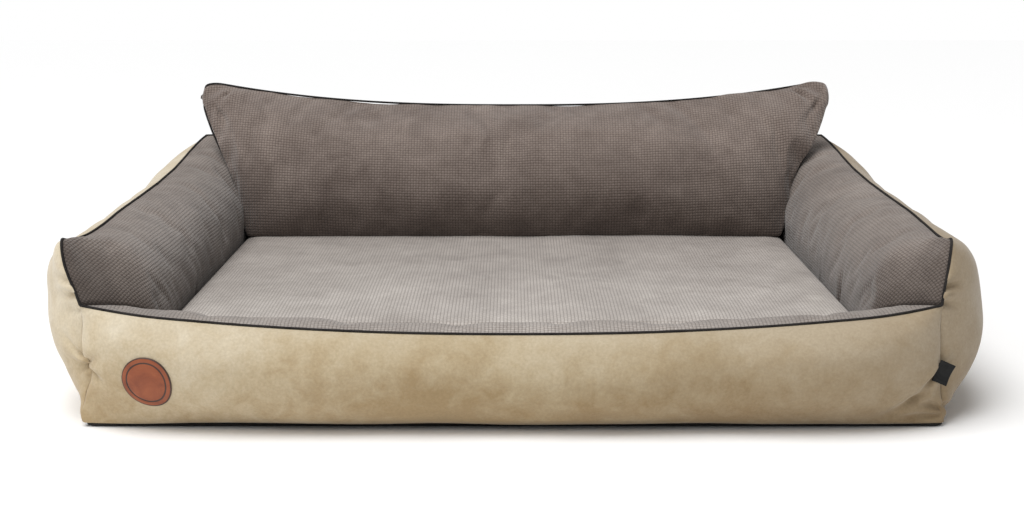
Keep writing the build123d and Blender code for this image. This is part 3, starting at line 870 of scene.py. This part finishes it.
front_shape = end_wall(front_pocket_y, base_low.y, front_height, corner_height, front_rim_power)
rear_shape = end_wall(rear_pocket_y, base_high.y, rear_height, rear_height, 1)
front_creases = [
    (-1, 0.002, 0.08, 20, 0.06, 0.006, 0.011),
    (-1, 0.002, 0.074, -25, 0.05, 0.006, 0.01),
    (1, 0.02, 0.062, -35, 0.07, 0.008, 0.011),
    (1, 0.04, 0.04, -28, 0.08, 0.009, 0.01),
    (1, 0.006, 0.02, 24, 0.07, 0.008, 0.012),
    (1, 0.01, 0.01, 4, 0.11, 0.008, 0.009),
]
left_creases = [
    (-1, 0.008, 0.17, -6, 0.075, 0.0055, 0.016),
    (-1, 0.014, 0.185, 4, 0.07, 0.0055, 0.016),
    (-1, 0.0, 0.152, -14, 0.06, 0.006, 0.009),
    (-1, 0.0, 0.088, 30, 0.07, 0.0065, 0.014),
    (-1, 0.0, 0.08, -24, 0.06, 0.0065, 0.013),
    (-1, 0.0, 0.078, 2, 0.08, 0.007, 0.012),
]
right_creases = [
    (-1, 0.008, 0.172, 8, 0.085, 0.0065, 0.018),
    (-1, 0.0, 0.155, -6, 0.06, 0.006, 0.01),
    (-1, 0.0, 0.072, 16, 0.055, 0.007, 0.008),
    (-1, 0.002, 0.024, -20, 0.06, 0.008, 0.01),
]
left_folds = [(0, -0.15, 0.03, 112, 0.2, 0.014, 0.007), (0, -0.28, 0.03, 104, 0.15, 0.012, 0.006)]
right_folds = [(0, -0.19, 0.01, 84, 0.22, 0.014, 0.01), (0, -0.05, 0.02, 78, 0.18, 0.012, 0.006)]
front_cover = wall("front", front_shape, 0, False, front_creases, (), seed=11, cap=0.008)
wall("rear", rear_shape, 0, True, (), (), seed=12, cap=0.008)
wall("right", side_wall(1), 1, False, right_creases, right_folds, seed=13, cap=0.009)
wall("left", side_wall(-1), 1, True, left_creases, left_folds, seed=14, cap=0.009)


# Base and floor lining
def slab(name, low, high, corner, edge):
    """A flat slab with round corners and edges."""
    mesh = bpy.data.meshes.new(name)
    block = bmesh.new()
    bmesh.ops.create_cube(block, size=1)
    size = high - low
    middle = (high + low) / 2
    for vertex in block.verts:
        vertex.co = Vector(c * s for c, s in zip(vertex.co, size)) + middle

    def upright(line):
        return abs(line.verts[0].co.z - line.verts[1].co.z) > size.z / 2

    sides = [line for line in block.edges if upright(line)]
    bmesh.ops.bevel(block, geom=sides, offset=corner, segments=8, affect="EDGES", profile=0.5)
    rim = [line for line in block.edges if not upright(line) and abs(line.calc_face_angle(0)) > 1]
    bmesh.ops.bevel(block, geom=rim, offset=edge, segments=3, affect="EDGES", profile=0.5)
    block.to_mesh(mesh)
    block.free()
    smooth_shaded(mesh)
    return linked(name, mesh)


base = slab("base_canvas", base_low, base_high, corner=0.014, edge=0.0018)
placed(base, "tub", "base_canvas", canvas, "base_panel")
floor_cloth = slab("floor_cloth", pocket_low, pocket_high, corner=0.002, edge=0.0006)
placed(floor_cloth, "tub", "lining", lining_cloth, "floor_lining")


# Mattress
def swelled_block(name, low, high):
    """A foam block in its cover: remeshed, swelled a little, and smoothed once."""
    block = slab(name + "_block", low, high, corner=0.028, edge=mattress_edge_radius)
    mesher = block.modifiers.new("mesher", "REMESH")
    mesher.mode = "VOXEL"
    mesher.voxel_size = 0.008
    applied(block)
    points = read_points(block.data)
    faces = [tuple(face.vertices) for face in block.data.polygons]
    under = (points[:, 2] < low.z + mattress_edge_radius) * 1.0
    points = inflated(points, faces, under, cap=0.0015, pressure=2, slack=0.0)
    discard(block)
    return subdivided(new_object(name, points, faces), levels=1)


def lay_cloth(piece):
    """Cloth places from the position and the way each face looks."""
    mesh = piece.data
    layer = mesh.uv_layers.new(name="cloth")
    points = read_points(mesh)
    spots = np.empty((len(mesh.loops), 2))
    for face in mesh.polygons:
        looks = max((2, 0, 1), key=lambda axis: abs(face.normal[axis]))
        keep = [axis for axis in range(3) if axis != looks]
        for loop in face.loop_indices:
            spots[loop] = points[mesh.loops[loop].vertex_index][keep]
    layer.data.foreach_set("uv", spots.ravel())


def recessed(piece, low, high):
    """Cuts a box out of the piece."""
    cutter = slab("cutter", low, high, corner=0.001, edge=0.0002)
    cut = piece.modifiers.new("cut", "BOOLEAN")
    cut.object = cutter
    cut.operation = "DIFFERENCE"
    cut.solver = "EXACT"
    applied(piece)
    discard(cutter)


band_low, band_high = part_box("mattress_side_band")
mattress_low = Vector((band_low.x, band_low.y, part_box("mattress_bottom_panel")[0].z))
mattress_high = Vector((band_high.x, band_high.y, seat_height))
tape_low, tape_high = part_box("mattress_zip_tape")
mattress = swelled_block("mattress_cover", mattress_low, mattress_high)
points = read_points(mattress.data)
crown = np.cos(np.clip(points[:, 0] / mattress_high.x, -1, 1) * pi / 2) ** 0.5
on_top = np.clip((points[:, 2] - seat_height + mattress_top_run) / mattress_top_run, 0, 1)
points[:, 2] += on_top * (waves(points, mattress_waves, seed=21) * crown - mattress_settle)
seam_level = seat_height - mattress_edge_radius
groove = bell(points[:, 2], seam_level, mattress_seam_run) * mattress_seam_depth
move_points(mattress.data, points - read_points(mattress.data, "normal") * groove[:, None])
recessed(
    mattress,
    Vector((tape_low.x - gap, tape_low.y - mattress_recess_depth, tape_low.z + mattress_recess_margin)),
    Vector((tape_high.x + gap, mattress_high.y + recess_overrun, tape_high.z - mattress_recess_margin)),
)
lay_cloth(mattress)
placed(
    mattress, "mattress", "woven_cover", seat_weave_painted_light,
    "mattress_core", "mattress_top_panel", "mattress_side_band", "mattress_bottom_panel",
    fill=0.9,
)


# Back pillow
def pillow_shape():
    """Points of the pillow's back, front and bottom strip, each (places, steps, 3)."""
    top = pillow_tip_full * pillow_top_half
    places = steps(2 * top) - top
    side = np.abs(places) / pillow_top_half
    lean = np.array([pillow_head_y - pillow_foot_y, pillow_head_height - pillow_foot_height])
    height = np.linalg.norm(lean)
    lean /= height
    beyond = (np.abs(places) - pillow_bottom_half) / (pillow_top_half - pillow_bottom_half)
    climb = np.interp(beyond, pillow_side_shares, pillow_climb_shares)
    full = (1 - side**pillow_puff_power) ** pillow_puff_root
    full_side = (1 - (pillow_bottom_half / pillow_top_half) ** pillow_puff_power) ** pillow_puff_root
    half_foot = mixed(pillow_edge_share, 1, np.minimum(1, full / full_side)) * pillow_foot_width / 2
    tip = np.maximum(0, side - pillow_tip_start_share) / (1 - pillow_tip_start_share)
    total = height + pillow_tip_rise * side**pillow_rim_power - pillow_tip_drop * tip**2
    tall = total * (1 - climb)
    level = np.clip(1 - climb / pillow_level_share, 0, 1)
    foot = pairs(half_foot * mixed(1, lean[1], level), half_foot * lean[0] * level)
    back = [foot]
    for lift, reach in zip(pillow_back_lift_shares, pillow_back_reach_shares):
        back.append(pairs(half_foot * (1 - lift) + reach * full * pillow_back_puff, lift * tall))
    ridge = pairs(np.zeros_like(tall), tall)
    front = [ridge]
    for lift, reach in zip(pillow_front_lift_shares, pillow_front_reach_shares):
        share = mixed(pillow_side_lift_share, lift, level) if lift < 0 else lift
        out = half_foot * (1 - lift) + reach * full * pillow_front_puff
        front.append(pairs(-out, share * tall))
    front.append(-foot)
    strips = []
    for poles, count in zip(([*back, ridge], front, [-foot, foot]), pillow_curve_steps):
        curve = bezier(np.stack(poles, axis=1), np.linspace(0, 1, count + 1))
        up = curve[:, :, 1] + (total * climb)[:, None]
        out = curve[:, :, 0]
        x = np.broadcast_to(places[:, None], up.shape)
        y = pillow_foot_y + lean[0] * up + lean[1] * out
        z = pillow_foot_height + lean[1] * up - lean[0] * out
        strips.append(np.stack([x, y, z], axis=2))
    return strips


pillow_creases = [
    (0, 0.486, 0.022, 50, 0.055, 0.007, 0.012),
    (0, 0.514, 0.05, 120, 0.06, 0.008, 0.008),
    (0, -0.49, 0.024, 125, 0.05, 0.008, 0.008),
    (0, -0.505, 0.06, 60, 0.06, 0.008, 0.007),
]
back, front, strip = pillow_shape()
closed = np.concatenate([back, front[:, 1:], strip[:, 1:-1]], axis=1)
rows, columns = closed.shape[:2]
ridge_at = back.shape[1] - 1
foot_at = ridge_at + front.shape[1] - 1
closed = eased(closed, held_columns(columns, ridge_at, foot_at, reach=6), rounds=50)
caps = []
for row, side in ((closed[0], -1), (closed[-1], 1)):
    middle = row.mean(axis=0)
    caps.append([middle + (row - middle) * keep + (side * out, 0, 0) for keep, out in pillow_caps])
closed = np.concatenate([caps[0][::-1], closed, caps[1]])
rows += 2 * len(pillow_caps)
pins = np.zeros((rows, columns))
pins[:len(pillow_caps)] = pins[-len(pillow_caps):] = 1
pins[:, [0, ridge_at]] = 1
pins[:, foot_at:] = 1
pillow_uv = cloth_places(closed, 0, ridge_at)
pillow_uv[:, :, 0] = closed[:, :, 0]
pillow_faces = tube_faces(rows, columns, True)
swelled = inflated(closed, pillow_faces[:-2], pins, cap=0.008).reshape(-1, 3)
pillow = new_object("pillow_cover", swelled, pillow_faces, pillow_uv.reshape(-1, 2))
crease = pillow.data.attributes.new("crease_edge", "FLOAT", "EDGE")
ends = read(pillow.data.edges, "vertices", 2, int)
on_seam = (ends % columns == ridge_at).all(axis=1)
on_seam &= (ends // columns >= pillow_crease_rows).all(axis=1)
on_seam &= (ends // columns < rows - pillow_crease_rows).all(axis=1)
crease.data.foreach_set("value", on_seam * pillow_crease_share)
subdivided(pillow, levels=2)
points = read_points(pillow.data)
move = waves(points, pillow_waves, seed=31)
spots = read_places(pillow.data, "cloth")
move -= crease_depth(spots, spots, pillow_creases)
calm = np.clip((points[:, 2] - pillow_foot_height) / pillow_calm_run, 0, 1)
move_points(pillow.data, points + read_points(pillow.data, "normal") * (move * calm)[:, None])
tape_low, tape_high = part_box("pillow_zip_tape")
pull_low, pull_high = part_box("pillow_zip_pull")
pull_room = 2 * (pull_high.x - pull_low.x)
recessed(
    pillow,
    Vector((tape_low.x - pull_room, tape_low.y - gap, pillow_foot_height - recess_overrun)),
    Vector((tape_high.x + gap, tape_high.y + gap, tape_high.z + pillow_recess_rise)),
)
placed(
    pillow, "pillow", "woven_cover", pillow_weave_painted_light,
    "pillow_fill", "pillow_back_panel", "pillow_front_panel",
    fill=0.8,
)
across = back[:, 0, 0]
middle = strip[:, 1:-1].mean(axis=1)
left_seam = middle[across <= -pillow_bottom_half][::-1]
right_seam = middle[across >= pillow_bottom_half][::-1]
seam = np.concatenate([left_seam, back[:, -1] + (0, 0, pillow_cord_rise), right_seam])
placed(piping("pillow_cord", seam), "pillow", "piping", piping_cloth, "pillow_piping")


# Round leather patch, laid on the swelled front cover
def on_cover(tree, point, axis, start=0.3):
    """Where a line along the axis meets a cover, coming from outside."""
    return np.array(tree.ray_cast(Vector(point) + Vector(axis) * start, -Vector(axis))[0])


front_tree = BVHTree.FromPolygons(
    [tuple(point) for point in read_points(front_cover.data)],
    [tuple(face.vertices) for face in front_cover.data.polygons],
)
patch_low, patch_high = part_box("leather_patch")
patch_radius = patch_scale * (patch_high.z - patch_low.z) / 2
patch_middle = (np.array(patch_low) + np.array(patch_high)) / 2
patch_middle[0] += patch_shift
patch_axis = unit(np.array([-np.sin(patch_yaw), -np.cos(patch_yaw), patch_rise]))
patch_side = unit(np.cross((0, 0, 1), -patch_axis))
patch_up = np.cross(-patch_axis, patch_side)
patch_points = []
for ring, level in zip(patch_ring_shares, patch_levels_mm):
    for turn in np.linspace(0, 2 * pi, patch_sides, endpoint=False):
        way = np.cos(turn) * patch_side + np.sin(turn) * patch_up
        spot = on_cover(front_tree, patch_middle + way * ring * patch_radius, patch_axis)
        patch_points.append(spot + patch_axis * level / 1000)
patch_faces = grid_faces(len(patch_ring_shares), patch_sides, False, closed=True)
patch = new_object("patch_disc", patch_points, patch_faces)
disc = bmesh.new()
disc.from_mesh(patch.data)
bmesh.ops.remove_doubles(disc, verts=disc.verts, dist=0.00001)
bmesh.ops.recalc_face_normals(disc, faces=disc.faces)
disc.to_mesh(patch.data)
disc.free()
placed(patch, "tub", "patch_leather", patch_leather, "leather_patch")
patch.data.materials.append(edge_leather)
for face in patch.data.polygons:
    away = np.array(face.center) - patch_middle
    reach = np.linalg.norm(away - patch_axis * (away @ patch_axis)) / patch_radius
    in_groove = patch_groove_shares[0] < reach < patch_groove_shares[1]
    face.material_index = int(in_groove or reach > patch_edge_share)


# Folded cloth tag in the right front corner seam
def folded_tag(place):
    """A ribbon folded over at its free end, a little curled, turned in the seam."""
    length, width, thick = 0.02, 0.028, 0.0014
    curl, sag, sag_turns = 0.0025, 0.0012, 1.6
    tilt, turn = radians(-24), radians(10)
    out = np.linspace(0, 1, 16)
    upper = np.stack([out * length, thick / 2 * np.sqrt(1 - (out * 0.98) ** 8)], axis=1)
    loop = np.concatenate([upper, upper[::-1] * (1, -1)])
    across = np.linspace(-0.5, 0.5, 18) * width
    points = []
    for along in across:
        for reach, level in loop:
            bend = curl * (reach / length) ** 2 - sag * np.cos(along / width * pi * sag_turns)
            points.append((reach - length / 2, along, level + bend))
    points = np.array(points)
    x = points[:, 0] * np.cos(tilt) - points[:, 1] * np.sin(tilt)
    y = -points[:, 2]
    z = points[:, 0] * np.sin(tilt) + points[:, 1] * np.cos(tilt)
    turned = [x * np.cos(turn) - y * np.sin(turn), x * np.sin(turn) + y * np.cos(turn), z]
    faces = tube_faces(len(across), len(loop), False)
    return new_object("tag_ribbon", np.stack(turned, axis=1) + place, faces)


tag_axis = np.array([0.12, -0.993, 0.0])
tag_place = on_cover(front_tree, tag_target, tag_axis) + tag_axis * tag_stand + tag_shift
placed(folded_tag(tag_place), "tub", "tag_cloth", tag_cloth, "side_tag")

# Zips keep their solids
for cushion in ("mattress", "pillow"):
    for part, material in (
        ("tape", zip_cloth), ("chain", zip_nylon), ("slider", zip_metal), ("pull", zip_metal)
    ):
        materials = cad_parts[f"{cushion}_zip_{part}"].data.materials
        materials.clear()
        materials.append(material)

# Floor, light and camera
floor = slab("floor", Vector((-8, -8, -0.02)), Vector((8, 8, -0.0005)), corner=0.01, edge=0.001)
plain = Nodes("floor")
plain.shader.inputs["Base Color"].default_value = (0.97, 0.97, 0.97, 1)
plain.shader.inputs["Roughness"].default_value = 0.9
floor.data.materials.append(plain.material)


def lamp(name, kind, way, power):
    """A lamp that shines along a direction."""
    light = bpy.data.lights.new(name, kind)
    light.energy = power
    piece = linked(name, light)
    piece.rotation_euler = Vector(way).to_track_quat("-Z", "Y").to_euler()
    return piece


key_place, key_aim = Vector((-1.6, -2.6, 2.2)), Vector((0, 0, 0.1))
key = lamp("key", "AREA", key_aim - key_place, power=22)
key.location = key_place
key.data.size = 1.6
sun = lamp("soft_sun", "SUN", (0.26, 0.14, -1), power=2.3)
sun.data.angle = radians(42)
world = bpy.data.worlds.new("studio")
world.use_nodes = True
tree = world.node_tree
light_side = tree.nodes["Background"]
seen_side = tree.nodes.new("ShaderNodeBackground")
for background, power in ((light_side, 0.36), (seen_side, 1.0)):
    background.inputs["Color"].default_value = (*white, 1)
    background.inputs["Strength"].default_value = power
path = tree.nodes.new("ShaderNodeLightPath")
mix = tree.nodes.new("ShaderNodeMixShader")
tree.links.new(path.outputs["Is Camera Ray"], mix.inputs["Fac"])
tree.links.new(light_side.outputs["Background"], mix.inputs[1])
tree.links.new(seen_side.outputs["Background"], mix.inputs[2])
tree.links.new(mix.outputs["Shader"], tree.nodes["World Output"].inputs["Surface"])
bpy.context.scene.world = world
bpy.context.scene.view_settings.view_transform = "Standard"

camera = linked("camera", bpy.data.cameras.new("camera"))
camera.data.lens = 53.17
camera.data.sensor_width = 36
camera.location = (-0.0033, -2.2414, 0.5876)
camera.rotation_euler = (radians(90 - 11.293), 0, 0)
bpy.context.scene.camera = camera
